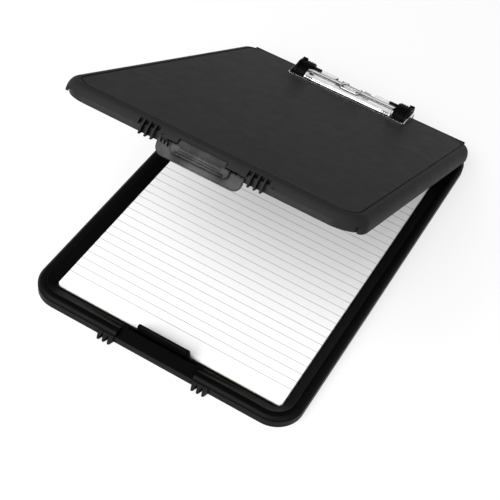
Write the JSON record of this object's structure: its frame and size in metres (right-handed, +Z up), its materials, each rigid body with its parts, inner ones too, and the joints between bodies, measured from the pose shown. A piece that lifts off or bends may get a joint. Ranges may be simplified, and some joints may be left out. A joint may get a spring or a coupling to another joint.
{
  "type": "storage clipboard box",
  "caption": "Shallow black moulded tray with a hinged clipboard lid, front latch flap, sprung steel paper clip and a ruled pad inside, shown open.",
  "frame": {"origin": "centre of the tray's flat underside", "axes": "+X to the right and -Y to the front as the box stands, +Z up; the hinge runs along X at the rear"},
  "size_m": [0.251, 0.3775, 0.2032],
  "materials": {
    "black_plastic": "finely textured matte moulding",
    "frame_plastic": "matte moulding",
    "bright_steel": "nickel plated sheet",
    "spring_wire": "drawn wire",
    "pin_steel": "drawn wire, plain",
    "black_grip": "soft matte",
    "ruled_paper": "uncoated paper with fine grey rules",
    "grey_board": "uncoated grey board"
  },
  "bodies": {
    "tray": {"tray_shell": "black_plastic", "writing_pad": "ruled_paper", "pad_backing_board": "grey_board"},
    "lid": {"lid_shell": "black_plastic", "lid_inner_frame": "frame_plastic", "hinge_pin_left": "pin_steel", "hinge_pin_right": "pin_steel", "latch_pin": "pin_steel", "clip_base_plate": "bright_steel", "clip_pivot_rod": "bright_steel", "clip_rivets": "bright_steel", "clip_rivet_washers": "pin_steel", "clip_spring": "spring_wire"},
    "latch": {"latch_flap": "frame_plastic"},
    "clip_jaw": {"clip_jaw_plate": "bright_steel", "clip_grip_left": "black_grip", "clip_grip_right": "black_grip"}
  },
  "joints": [
    {"name": "lid_hinge", "type": "hinge", "parent": "tray", "child": "lid", "pos_m": [0, 0.1795, 0.01665], "axis": [1, 0, 0], "range_deg": [-60, 30]},
    {"name": "latch_hinge", "type": "hinge", "parent": "lid", "child": "latch", "pos_m": [0, -0.13546, 0.19913], "axis": [-1, 0, 0], "range_deg": [0, 50]},
    {"name": "clip_jaw_hinge", "type": "hinge", "parent": "lid", "child": "clip_jaw", "pos_m": [0, 0.17333, 0.03297], "axis": [-1, 0, 0], "range_deg": [0, 30], "stiffness_Nm_per_rad": 0.35, "springref_deg": -17.19, "deforming": ["clip_spring"]}
  ]
}
